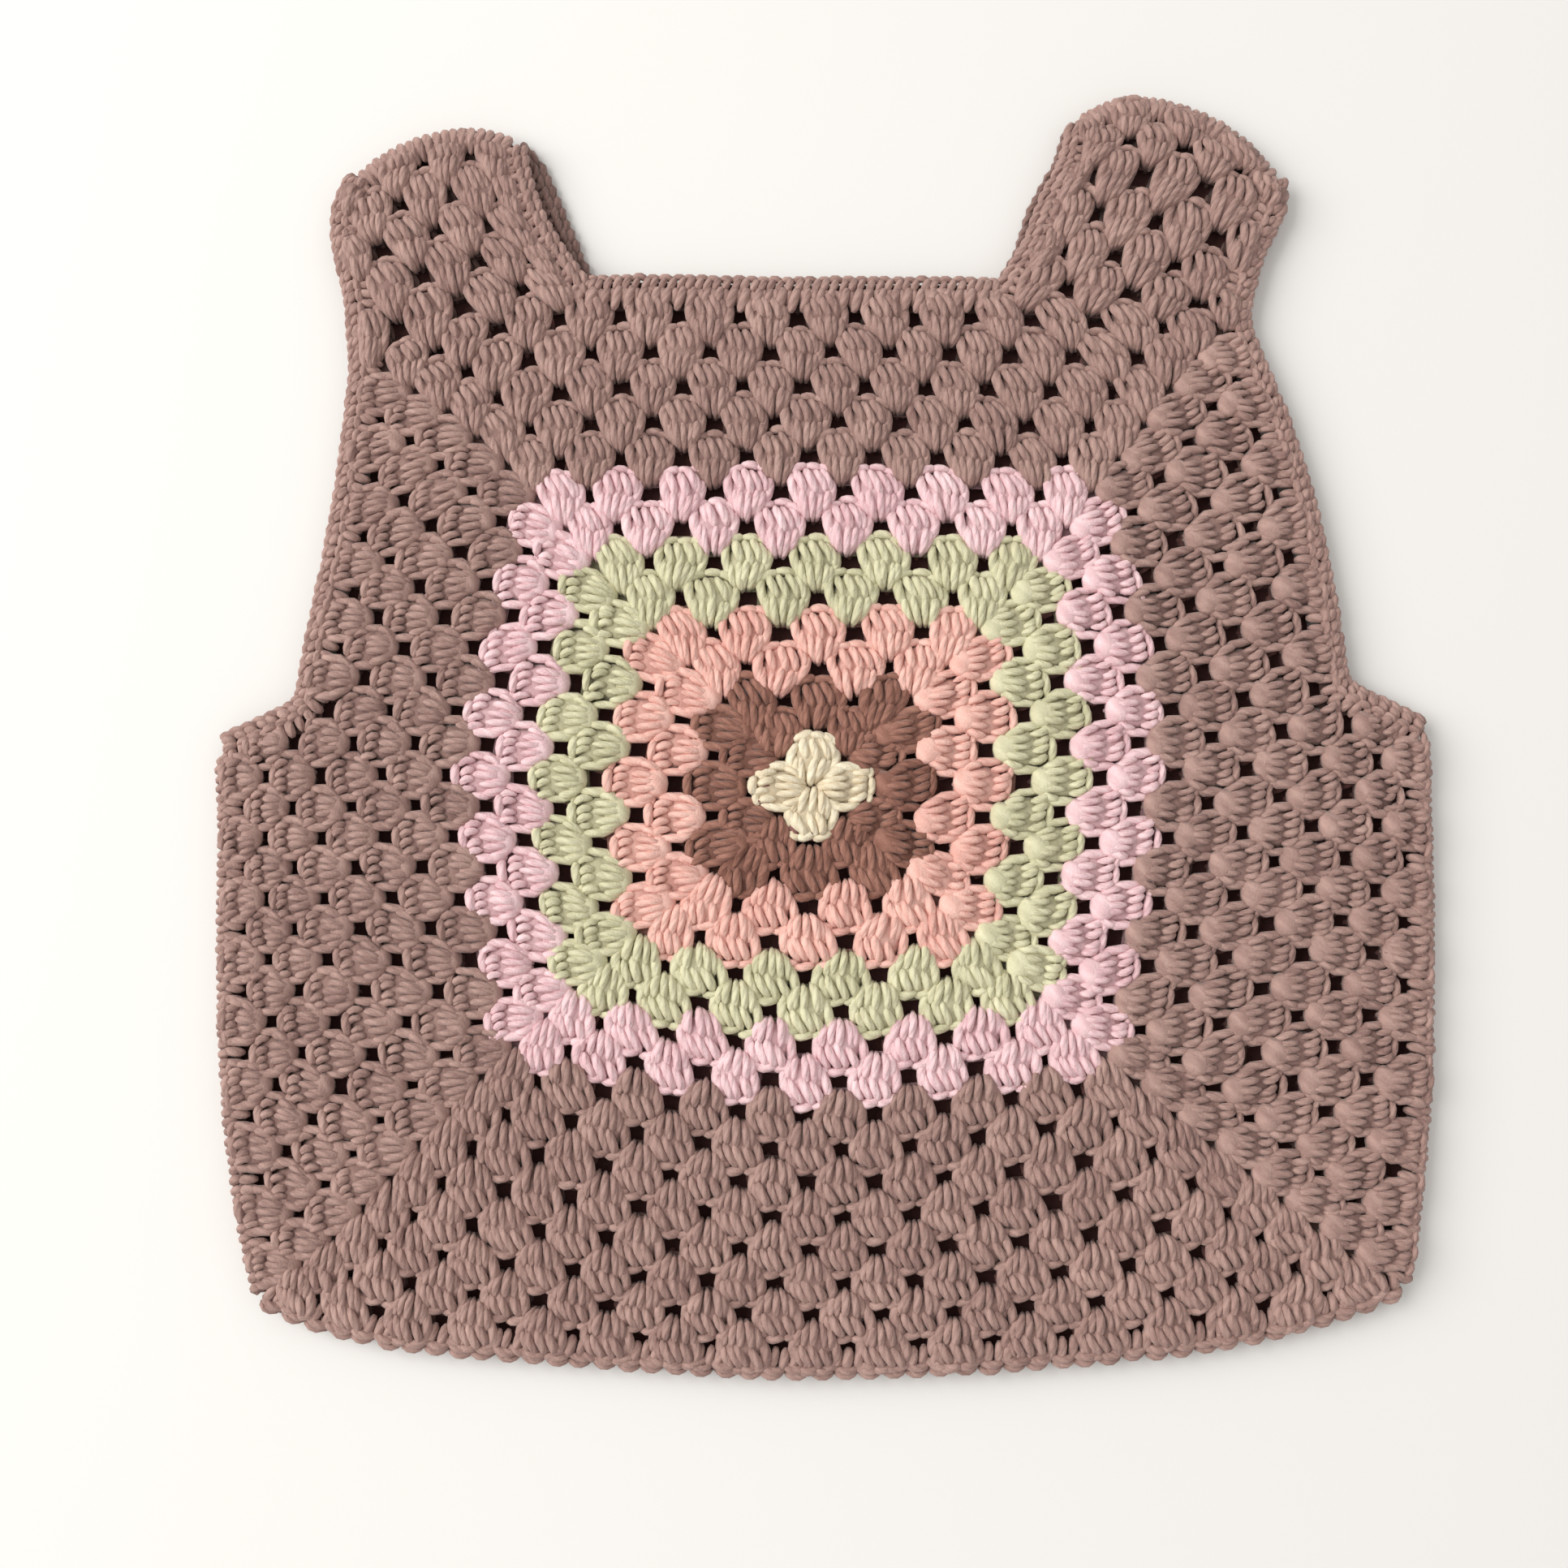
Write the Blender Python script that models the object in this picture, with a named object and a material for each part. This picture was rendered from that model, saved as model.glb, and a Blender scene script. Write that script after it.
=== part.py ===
"""Crochet vest top laid flat: a granny-square front on a plain back, with straps, edgings and seams.

The front is charted in rows counted from the centre of the square: across (column) and up (row).
The laid() function takes a chart place to its place on the table, in millimetres.
"""
import math
from collections import namedtuple

import bmesh
import bpy
from mathutils import Vector

MM = 0.001

LAYER = 4.0            # thickness of one crocheted layer
GAP = 0.3              # clearance between neighbouring pieces
EDGING_WIDTH = 6.0     # two rows of single crochet round neck and armholes
HEM_WIDTH = 4.4        # one row of single crochet round the hem
EDGING_LAYER = 3.6     # thickness of the edgings
EDGING_CHAMFER = 1.0
SEAM_BULGE = 4.0       # how far the side and shoulder joins stand out
SEAM_END_CLEAR = 0.45  # chart rows left free at each end of a side join, for the edgings' turns
BEND_STEPS = 5         # facets where an edging turns from the front to the back

BACK_LOW = 0.0
BACK_TOP = BACK_LOW + LAYER
FRONT_LOW = BACK_TOP + GAP
FRONT_TOP = FRONT_LOW + LAYER
FRONT_MIDDLE = (FRONT_LOW + FRONT_TOP) / 2
BACK_MIDDLE = (BACK_LOW + BACK_TOP) / 2
TURN_MIDDLE = (FRONT_MIDDLE + BACK_MIDDLE) / 2
TURN_RADIUS = (FRONT_MIDDLE - BACK_MIDDLE) / 2

# Outer edges of the rounds, in chart rows from the centre
FLOWER_EDGE = 1.6
COCOA_EDGE = 3.2
CORAL_EDGE = 5.1
SAGE_EDGE = 7.0
PINK_EDGE = 9.0
YOKE_EDGE = 14         # the last whole round
BODY_EDGE = 17         # the rounds that stop at the underarm
UNDERARM_INNER = 1.9   # chart row of the underarm where it meets the yoke
UNDERARM_OUTER = 0.8   # chart row of the underarm at the side
NECK_HALF = 7.3        # chart columns from the middle to a strap

# How the square lies: for each chart row, x and y in mm at seven chart columns
COLUMNS = (-17, -14, -9, 0, 9, 14, 17)
LaidRow = namedtuple("LaidRow", "row across up")
LAID = (
    LaidRow(-17,
            (-172.5, -147, -97, -2, 97.5, 147.5, 179.5),
            (-186, -195.5, -201.5, -207, -201.5, -193.5, -183)),
    LaidRow(-14,
            (-179, -147, -97.5, -3.5, 96, 149, 184.5),
            (-160, -164.5, -172, -178, -172.5, -161.5, -157)),
    LaidRow(-9,
            (-186, -158, -101, -4.5, 94, 156, 190),
            (-112, -112.5, -114.5, -126.5, -117, -111, -111)),
    LaidRow(0,
            (-190, -165, -114, -2.5, 108.5, 165.5, 193.5),
            (-25, -24.5, -24, -28, -24, -19.5, -20)),
    LaidRow(3,
            (-193, -162.5, -109, 0, 107, 165, 192.5),
            (6, 8, 7, 5, 8, 16, 15)),
    LaidRow(9,
            (-185.5, -153.5, -97.5, -2.5, 94.5, 154, 184),
            (60, 63.5, 73, 76, 74.5, 80, 79)),
    LaidRow(14,
            (-177, -149, -96, -7.5, 80, 137, 167),
            (107, 114.5, 134, 135.5, 134.5, 128, 119.5)),
)

# Straps above the yoke, from the yoke up: the two edges in mm, and how far the top bows up
StrapRow = namedtuple("StrapRow", "inner_x inner_y outer_x outer_y")
Strap = namedtuple("Strap", "side rows bow back_shift")
LEFT_STRAP = Strap(-1, (
    StrapRow(-90.5, 151.5, -152.3, 141),
    StrapRow(-99.5, 168, -157.5, 158),
    StrapRow(-104, 184, -157, 172),
    StrapRow(-104.5, 189.5, -152.5, 177.5),
), 8.0, 7.5)
RIGHT_STRAP = Strap(1, (
    StrapRow(74.5, 153, 139.8, 141.5),
    StrapRow(80, 169, 145, 157),
    StrapRow(88, 184, 152.8, 171),
    StrapRow(90.5, 197.5, 152, 178.5),
), 14.0, -2.5)
BOW_POWER = 2.5        # how square the bowed shoulder line is
STRAP_TOP_STEPS = 10
STRAP_BASE_STEPS = 6

# Points along the outlines
SIDE_STEPS = 9         # side of the body, below the underarm
ARM_STEPS = 6          # armhole side of the yoke
ROUND_STEPS = SIDE_STEPS + 1 + ARM_STEPS
NECK_STEPS = 10

YARN = {
    "cream": (0.83, 0.76, 0.55),
    "cocoa": (0.27, 0.145, 0.105),
    "coral": (0.72, 0.38, 0.29),
    "sage": (0.50, 0.52, 0.29),
    "pink": (0.75, 0.50, 0.58),
    "mauve": (0.35, 0.235, 0.205),
    "mauve_back": (0.31, 0.205, 0.18),
}
YARN_ROUGHNESS = 0.9


def curve_at(places, values, place):
    """Smooth curve through values given at places, with straight ends."""
    last = len(places) - 1
    slopes = []
    for i in range(last + 1):
        low = max(i - 1, 0)
        high = min(i + 1, last)
        slopes.append((values[high] - values[low]) / (places[high] - places[low]))
    if place <= places[0]:
        return values[0] + slopes[0] * (place - places[0])
    if place >= places[last]:
        return values[last] + slopes[last] * (place - places[last])
    i = max(k for k in range(last) if places[k] <= place)
    span = places[i + 1] - places[i]
    t = (place - places[i]) / span
    start = values[i] * (1 + 2 * t) * (1 - t) ** 2 + values[i + 1] * t * t * (3 - 2 * t)
    return start + span * (slopes[i] * t * (1 - t) ** 2 - slopes[i + 1] * t * t * (1 - t))


def laid(column, row):
    """Place on the table, in mm, of a place on the chart."""
    rows = [section.row for section in LAID]
    across = [curve_at(rows, [s.across[k] for s in LAID], row) for k in range(len(COLUMNS))]
    up = [curve_at(rows, [s.up[k] for s in LAID], row) for k in range(len(COLUMNS))]
    return (curve_at(COLUMNS, across, column), curve_at(COLUMNS, up, column))


def between(start, end, steps):
    """Points from start up to but not including end."""
    return [tuple(a + (b - a) * i / steps for a, b in zip(start, end)) for i in range(steps)]


def chart_path(corners, steps):
    """Chart points along straight runs between corners, the last corner left out."""
    path = []
    for start, end, count in zip(corners, corners[1:], steps):
        path += between(start, end, count)
    return path


def square_path(half):
    corners = [(half, -half), (half, half), (-half, half), (-half, -half), (half, -half)]
    return chart_path(corners, [ROUND_STEPS] * 4)


def body_path():
    """Outline of the body, in step with the four sides of square_path."""
    right = [(BODY_EDGE, -BODY_EDGE), (BODY_EDGE, UNDERARM_OUTER), (YOKE_EDGE, UNDERARM_INNER),
             (YOKE_EDGE, YOKE_EDGE)]
    left = [(-column, row) for column, row in reversed(right)]
    steps = [SIDE_STEPS, 1, ARM_STEPS, ROUND_STEPS, ARM_STEPS, 1, SIDE_STEPS, ROUND_STEPS]
    return chart_path(right + left + [right[0]], steps)


def shifted(points, distance):
    """Points of an open line moved to its right, keeping its runs parallel."""
    moved = []
    for i, point in enumerate(points):
        before = Vector(points[i]) - Vector(points[i - 1]) if i else None
        after = Vector(points[i + 1]) - Vector(points[i]) if i < len(points) - 1 else None
        runs = [run.normalized() for run in (before, after) if run]
        along = sum(runs, Vector((0, 0))).normalized()
        mitre = 1 / max(along.dot(runs[0]), 0.5)
        right = Vector((along.y, -along.x)) * mitre
        moved.append(tuple(Vector(point) + right * distance))
    return moved


def shrunk(loop, distance):
    """Closed counter-clockwise loop with each point moved inward."""
    around = [loop[-1]] + loop + [loop[0]]
    return shifted(around, -distance)[1:-1]


def round_loop(half, inward):
    """Laid outline of a round, moved inward by the clearance."""
    return shrunk([laid(*place) for place in square_path(half)], inward)


def material(yarn):
    name = "yarn_" + yarn
    if name in bpy.data.materials:
        return bpy.data.materials[name]
    made = bpy.data.materials.new(name)
    made.use_nodes = True
    shader = made.node_tree.nodes["Principled BSDF"]
    shader.inputs["Base Color"].default_value = (*YARN[yarn], 1)
    shader.inputs["Roughness"].default_value = YARN_ROUGHNESS
    shader.inputs["Metallic"].default_value = 0
    made.diffuse_color = (*YARN[yarn], 1)
    return made


def add_solid(name, yarn, mesh_builder):
    """Close, orient and store the mesh as a named object."""
    bmesh.ops.recalc_face_normals(mesh_builder, faces=mesh_builder.faces)
    mesh = bpy.data.meshes.new(name)
    mesh_builder.to_mesh(mesh)
    mesh_builder.free()
    mesh.materials.append(material(yarn))
    solid = bpy.data.objects.new(name, mesh)
    bpy.context.collection.objects.link(solid)
    return solid


def level_ring(builder, loop, z):
    return [builder.verts.new((x * MM, y * MM, z * MM)) for x, y in loop]


def join_rings(builder, first, second):
    count = len(first)
    for i in range(count):
        k = (i + 1) % count
        builder.faces.new((first[i], first[k], second[k], second[i]))


def plate(name, yarn, loop, low, top):
    """Flat piece with the given closed outline."""
    builder = bmesh.new()
    bottom = level_ring(builder, loop, low)
    upper = level_ring(builder, loop, top)
    join_rings(builder, bottom, upper)
    builder.faces.new(bottom)
    builder.faces.new(upper)
    return add_solid(name, yarn, builder)


def ring_plate(name, yarn, inner, outer, low, top):
    """Flat ring between two outlines with the same number of points."""
    builder = bmesh.new()
    rings = [level_ring(builder, loop, z) for loop, z in
             ((inner, low), (outer, low), (outer, top), (inner, top))]
    for i in range(4):
        join_rings(builder, rings[i], rings[(i + 1) % 4])
    return add_solid(name, yarn, builder)


def band_section(width, thickness):
    half = width / 2
    deep = thickness / 2
    cut = EDGING_CHAMFER
    quarter = [(half, deep - cut), (half - cut, deep)]
    top = quarter + [(-w, n) for w, n in reversed(quarter)]
    return top + [(-w, -n) for w, n in top]


def seam_section():
    """Half-round bulge from the back layer's foot to the front layer's top."""
    steps = 6
    radius = (FRONT_TOP - BACK_LOW) / 2 - 0.1
    return [(SEAM_BULGE * math.sin(math.pi * i / steps), -radius * math.cos(math.pi * i / steps))
            for i in range(steps + 1)]


def line_frames(points, height, side):
    """Stations along a flat line: place, width direction and upward direction."""
    stations = []
    widths = shifted(points, 1)
    for point, wide in zip(points, widths):
        across = (Vector(wide) - Vector(point)) * side
        stations.append((Vector((*point, height)), across.to_3d(), Vector((0, 0, side))))
    return stations


def bend_frames(end, before):
    """Stations of the half turn that takes an edging over to the other layer."""
    onward = (end[0] - before[0]).normalized()
    up = end[2]
    centre = Vector((end[0].x, end[0].y, TURN_MIDDLE))
    stations = []
    for step in range(1, BEND_STEPS):
        angle = math.pi * step / BEND_STEPS
        out = onward * math.sin(angle) + up * math.cos(angle)
        stations.append((centre + out * TURN_RADIUS, end[1].normalized(), out))
    return stations


def sweep(name, yarn, stations, section, closed):
    builder = bmesh.new()
    rings = []
    for place, wide, deep in stations:
        rings.append([builder.verts.new((place + wide * w + deep * n) * MM) for w, n in section])
    for first, second in zip(rings, rings[1:]):
        join_rings(builder, first, second)
    if closed:
        join_rings(builder, rings[-1], rings[0])
    else:
        builder.faces.new(rings[0])
        builder.faces.new(rings[-1])
    return add_solid(name, yarn, builder)


def edging(name, front_edge, back_edge, width):
    """Band round an opening: along the front edge, over, and back along the back edge."""
    reach = GAP + width / 2
    front = line_frames(shifted(front_edge, reach), FRONT_MIDDLE, 1)
    back = line_frames(shifted(back_edge, reach)[::-1], BACK_MIDDLE, -1)
    over = bend_frames(front[-1], front[-2])
    under = bend_frames(back[-1], back[-2])
    return sweep(name, "mauve", front + over + back + under, band_section(width, EDGING_LAYER), True)


def seam(name, edge):
    """Half-round join that closes the edges of both layers."""
    stations = [(place, wide.normalized(), up) for place, wide, up in
                line_frames(shifted(edge, GAP), TURN_MIDDLE, 1)]
    return sweep(name, "mauve", stations, seam_section(), False)


def strap_edges(strap, layer_shift):
    """Inner and outer edge of a strap from the yoke to the shoulder."""
    inner = [laid(strap.side * NECK_HALF, YOKE_EDGE)]
    outer = [laid(strap.side * YOKE_EDGE, YOKE_EDGE)]
    count = len(strap.rows)
    for i, row in enumerate(strap.rows, start=1):
        inward = layer_shift * math.sin(math.pi * i / count)
        inner.append((row.inner_x + inward, row.inner_y))
        outer.append((row.outer_x, row.outer_y))
    return inner, outer


def shoulder_line(strap, inner_top, outer_top):
    """Bowed top of a strap, from its inner corner to its outer corner."""
    line = []
    for i in range(STRAP_TOP_STEPS + 1):
        t = i / STRAP_TOP_STEPS
        lift = strap.bow * (1 - abs(2 * t - 1) ** BOW_POWER)
        line.append((inner_top[0] + (outer_top[0] - inner_top[0]) * t,
                     inner_top[1] + (outer_top[1] - inner_top[1]) * t + lift))
    return line


def strap_panel(name, yarn, strap, layer_shift, low, top):
    inner, outer = strap_edges(strap, layer_shift)
    reach = (NECK_HALF - YOKE_EDGE) / STRAP_BASE_STEPS
    columns = [strap.side * (YOKE_EDGE + reach * i) for i in range(STRAP_BASE_STEPS + 1)]
    base = [(x, y + GAP) for x, y in (laid(column, YOKE_EDGE) for column in columns)]
    loop = base + inner[1:-1] + shoulder_line(strap, inner[-1], outer[-1]) + outer[-2:0:-1]
    return plate(name, yarn, loop, low, top)


def neck_edge(layer):
    """Neck opening's edge from the left shoulder to the right one."""
    left = strap_edges(LEFT_STRAP, LEFT_STRAP.back_shift * layer)[0]
    right = strap_edges(RIGHT_STRAP, RIGHT_STRAP.back_shift * layer)[0]
    yoke = [laid(NECK_HALF * (2 * i / NECK_STEPS - 1), YOKE_EDGE) for i in range(1, NECK_STEPS)]
    return left[::-1] + yoke + right


def armhole_edge(strap):
    """Armhole's edge from the side, round the underarm and up to the shoulder."""
    side = strap.side
    height = YOKE_EDGE - UNDERARM_INNER
    rows = [UNDERARM_INNER + height * i / ARM_STEPS for i in range(ARM_STEPS)]
    body = [laid(side * BODY_EDGE, UNDERARM_OUTER)] + [laid(side * YOKE_EDGE, row) for row in rows]
    return body + strap_edges(strap, 0)[1]


def side_edge(side):
    length = UNDERARM_OUTER + BODY_EDGE
    rows = [UNDERARM_OUTER - length * i / SIDE_STEPS for i in range(SIDE_STEPS + 1)]
    rows[0] -= SEAM_END_CLEAR
    rows[-1] += SEAM_END_CLEAR
    return [laid(side * BODY_EDGE, row) for row in rows]


def hem_edge():
    """Bottom edge, with points where the hem line of the panels has them."""
    columns = [BODY_EDGE * (2 * i / ROUND_STEPS - 1) for i in range(ROUND_STEPS + 1)]
    return [laid(column, -BODY_EDGE) for column in columns]


def build_front():
    rounds = (("front_cocoa_rounds", "cocoa", FLOWER_EDGE, COCOA_EDGE),
              ("front_coral_rounds", "coral", COCOA_EDGE, CORAL_EDGE),
              ("front_sage_rounds", "sage", CORAL_EDGE, SAGE_EDGE),
              ("front_pink_rounds", "pink", SAGE_EDGE, PINK_EDGE))
    plate("front_flower_centre", "cream", round_loop(FLOWER_EDGE, GAP / 2), FRONT_LOW, FRONT_TOP)
    for name, yarn, inner_edge, outer_edge in rounds:
        inner = round_loop(inner_edge, -GAP / 2)
        ring_plate(name, yarn, inner, round_loop(outer_edge, GAP / 2), FRONT_LOW, FRONT_TOP)
    inner = round_loop(PINK_EDGE, -GAP / 2)
    outer = [laid(*place) for place in body_path()]
    ring_plate("front_mauve_rounds", "mauve", inner, outer, FRONT_LOW, FRONT_TOP)
    strap_panel("front_strap_left", "mauve", LEFT_STRAP, 0, FRONT_LOW, FRONT_TOP)
    strap_panel("front_strap_right", "mauve", RIGHT_STRAP, 0, FRONT_LOW, FRONT_TOP)


def build_back():
    loop = [laid(*place) for place in body_path()]
    plate("back_panel", "mauve_back", loop, BACK_LOW, BACK_TOP)
    for name, strap in (("back_strap_left", LEFT_STRAP), ("back_strap_right", RIGHT_STRAP)):
        strap_panel(name, "mauve_back", strap, strap.back_shift, BACK_LOW, BACK_TOP)


def build_edgings():
    edging("neck_edging", neck_edge(0)[::-1], neck_edge(1)[::-1], EDGING_WIDTH)
    left = armhole_edge(LEFT_STRAP)[::-1]
    right = armhole_edge(RIGHT_STRAP)
    edging("armhole_edging_left", left, left, EDGING_WIDTH)
    edging("armhole_edging_right", right, right, EDGING_WIDTH)
    edging("hem_edging", hem_edge(), hem_edge(), HEM_WIDTH)


def build_seams():
    seam("side_seam_left", side_edge(-1))
    seam("side_seam_right", side_edge(1)[::-1])
    for name, strap in (("shoulder_seam_left", LEFT_STRAP), ("shoulder_seam_right", RIGHT_STRAP)):
        inner, outer = strap_edges(strap, 0)
        line = shoulder_line(strap, inner[-1], outer[-1])[1:-1]
        seam(name, line if strap.side < 0 else line[::-1])


def centre_on_origin():
    """Put the middle of the garment's floor outline at the origin."""
    corners = [vertex.co for solid in bpy.data.objects for vertex in solid.data.vertices]
    middle = [(min(c[k] for c in corners) + max(c[k] for c in corners)) / 2 for k in range(2)]
    for solid in bpy.data.objects:
        for vertex in solid.data.vertices:
            vertex.co.x -= middle[0]
            vertex.co.y -= middle[1]


def main():
    for old in list(bpy.data.objects):
        bpy.data.objects.remove(old, do_unlink=True)
    build_front()
    build_back()
    build_edgings()
    build_seams()
    centre_on_origin()


main()
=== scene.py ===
import math
import bmesh
import bpy
import numpy as np
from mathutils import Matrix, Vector


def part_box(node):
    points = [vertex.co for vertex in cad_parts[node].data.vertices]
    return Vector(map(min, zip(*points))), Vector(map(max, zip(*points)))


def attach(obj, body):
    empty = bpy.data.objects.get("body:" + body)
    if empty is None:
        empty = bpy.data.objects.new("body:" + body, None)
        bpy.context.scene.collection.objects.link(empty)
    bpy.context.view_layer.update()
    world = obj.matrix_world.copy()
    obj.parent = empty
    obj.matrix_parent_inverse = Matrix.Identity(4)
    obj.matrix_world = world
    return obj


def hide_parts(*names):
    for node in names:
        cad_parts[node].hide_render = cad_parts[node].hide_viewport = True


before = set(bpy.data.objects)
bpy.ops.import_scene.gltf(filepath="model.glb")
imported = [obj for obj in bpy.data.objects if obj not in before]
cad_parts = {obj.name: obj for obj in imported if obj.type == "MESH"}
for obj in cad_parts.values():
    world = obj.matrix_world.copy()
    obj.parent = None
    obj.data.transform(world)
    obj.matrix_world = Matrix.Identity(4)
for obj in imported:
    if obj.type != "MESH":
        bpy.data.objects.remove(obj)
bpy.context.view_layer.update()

mm = 0.001
rng = np.random.default_rng(11)

# The chart counts rows from the middle of the square, across and up.
# laidRows says where the chart lies on the table, in mm: the row, then x and y at each chart column.
chart = dict(
    columns=(-17, -14, -9, 0, 9, 14, 17),
    laidRows=(
        (-17, (-172.5, -147, -97, -2, 97.5, 147.5, 179.5),
         (-186, -195.5, -201.5, -207, -201.5, -193.5, -183)),
        (-14, (-179, -147, -97.5, -3.5, 96, 149, 184.5),
         (-160, -164.5, -172, -178, -172.5, -161.5, -157)),
        (-9, (-186, -158, -101, -4.5, 94, 156, 190),
         (-112, -112.5, -114.5, -126.5, -117, -111, -111)),
        (0, (-190, -165, -114, -2.5, 108.5, 165.5, 193.5),
         (-25, -24.5, -24, -28, -24, -19.5, -20)),
        (3, (-193, -162.5, -109, 0, 107, 165, 192.5),
         (6, 8, 7, 5, 8, 16, 15)),
        (9, (-185.5, -153.5, -97.5, -2.5, 94.5, 154, 184),
         (60, 63.5, 73, 76, 74.5, 80, 79)),
        (14, (-177, -149, -96, -7.5, 80, 137, 167),
         (107, 114.5, 134, 135.5, 134.5, 128, 119.5)),
    ),
    yokeEdge=14, bodyEdge=17,           # the last whole round, and the last one below the armholes
    armhole=14,                         # columns from the middle to the armhole's upright edge
    underarmInner=1.9, underarmOuter=0.8,
    neckHalf=7.3,                       # columns from the middle to a strap
)

# Straps, from the yoke up: the chart row, then the inner and the outer edge in mm
straps = dict(
    left=dict(side=-1, bow=8.0, backShift=7.5, rows=(
        (15.7, (-90.5, 151.5), (-152.3, 141)),
        (17.2, (-99.5, 168), (-157.5, 158)),
        (18.5, (-104, 184), (-157, 172)),
        (19.4, (-104.5, 189.5), (-152.5, 177.5)))),
    right=dict(side=1, bow=14.0, backShift=-2.5, rows=(
        (15.5, (74.5, 153), (139.8, 141.5)),
        (16.8, (80, 169), (145, 157)),
        (18.1, (88, 184), (152.8, 171)),
        (20.0, (90.5, 197.5), (152, 178.5)))),
)


def knotWeights(knots, places):
    # weights of a smooth curve through values at the knots, straight beyond its ends
    knots = np.asarray(knots, float)
    places = np.asarray(places, float)
    last = len(knots) - 1
    slopes = np.zeros((last + 1, last + 1))
    for i in range(last + 1):
        low, high = max(i - 1, 0), min(i + 1, last)
        slopes[i, high] += 1 / (knots[high] - knots[low])
        slopes[i, low] -= 1 / (knots[high] - knots[low])
    cell = np.clip(np.searchsorted(knots, places, side="right") - 1, 0, last - 1)
    span = (knots[cell + 1] - knots[cell])[:, None]
    t = np.clip((places - knots[cell])[:, None] / span, 0, 1)
    own = np.eye(last + 1)
    weights = own[cell] * (1 + 2 * t) * (1 - t) ** 2 + own[cell + 1] * t * t * (3 - 2 * t)
    weights += span * (slopes[cell] * t * (1 - t) ** 2 - slopes[cell + 1] * t * t * (1 - t))
    weights += slopes[0] * np.minimum(places - knots[0], 0)[:, None]
    weights += slopes[last] * np.maximum(places - knots[last], 0)[:, None]
    return weights


def laid(places):
    # chart places (column, row) to places on the table in mm
    places = np.asarray(places, float)
    flat = places.reshape(-1, 2)
    acrossWeights = knotWeights(chart["columns"], flat[:, 0])
    rowWeights = knotWeights([row[0] for row in chart["laidRows"]], flat[:, 1])
    out = np.empty_like(flat)
    for k in range(2):
        table = np.array([row[k + 1] for row in chart["laidRows"]], float)
        out[:, k] = np.einsum("ni,ij,nj->n", rowWeights, table, acrossWeights)
    return out.reshape(places.shape)


def strapLaid(strap, backLayer=0.0):
    # a mapping like laid() for the chart rows above the yoke
    side, yoke, neck, armhole = strap["side"], chart["yokeEdge"], chart["neckHalf"], chart["armhole"]
    heights = [yoke] + [row[0] for row in strap["rows"]]
    innerBase, outerBase = laid([(side * neck, yoke), (side * armhole, yoke)])
    inner = np.array([innerBase] + [row[1] for row in strap["rows"]])
    outer = np.array([outerBase] + [row[2] for row in strap["rows"]])
    count = len(strap["rows"])
    inner[:, 0] += backLayer * strap["backShift"] * np.sin(np.pi * np.arange(count + 1) / count)

    def place(places):
        places = np.asarray(places, float)
        flat = places.reshape(-1, 2)
        across = (np.abs(flat[:, 0]) - neck) / (armhole - neck)
        weights = knotWeights(heights, flat[:, 1])
        innerAt, outerAt = weights @ inner, weights @ outer
        out = innerAt + (outerAt - innerAt) * across[:, None]
        chord = innerBase + (outerBase - innerBase) * across[:, None]
        onYoke = laid(np.stack([flat[:, 0], np.full(len(flat), float(yoke))], 1))
        rise = np.clip((flat[:, 1] - yoke) / (heights[-1] - yoke), 0, 1.2)
        out += (onYoke - chord) * np.clip(1 - rise, 0, 1)[:, None]
        inside = np.clip(across, 0, 1)
        out[:, 1] += strap["bow"] * (1 - np.abs(2 * inside - 1) ** 2.5) * rise ** 1.5
        return out.reshape(places.shape)

    return place


def bodyOutline():
    # the panel's outline, as the frame has it
    inner, outer = chart["underarmInner"], chart["underarmOuter"]
    body, yoke, armhole = chart["bodyEdge"], chart["yokeEdge"], chart["armhole"]
    right = [(body, -body), (body, outer), (armhole, inner), (armhole, yoke)]
    left = [(-column, row) for column, row in reversed(right)]
    corners = right + left + [right[0]]
    steps = (9, 1, 6, 16, 6, 1, 9, 16)       # side, underarm, armhole, neck, and back down to the hem
    return [(a[0] + (b[0] - a[0]) * i / n, a[1] + (b[1] - a[1]) * i / n)
            for a, b, n in zip(corners, corners[1:], steps) for i in range(n)]


panelLow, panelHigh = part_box("back_panel")
outline = laid(bodyOutline())
toFrame = np.array([(panelLow[k] + panelHigh[k]) / 2 / mm - (outline[:, k].min() + outline[:, k].max()) / 2
                    for k in range(2)])
print("chart to frame, mm:", toFrame)


# Camera: nearly straight down, the hem a little nearer
camera = dict(place=(-11.3, -91.25, 531.4), tilt=7.0, lens=37.73, sensor=36)


def addCamera():
    data = bpy.data.cameras.new("camera")
    data.lens, data.sensor_width = camera["lens"], camera["sensor"]
    data.clip_start, data.clip_end = 0.01, 20
    seat = bpy.data.objects.new("camera", data)
    x, y, z = camera["place"]
    seat.location = ((x + toFrame[0]) * mm, (y + toFrame[1]) * mm, z * mm)
    seat.rotation_euler = (math.radians(camera["tilt"]), 0, 0)
    bpy.context.collection.objects.link(seat)
    bpy.context.scene.camera = seat


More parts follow.
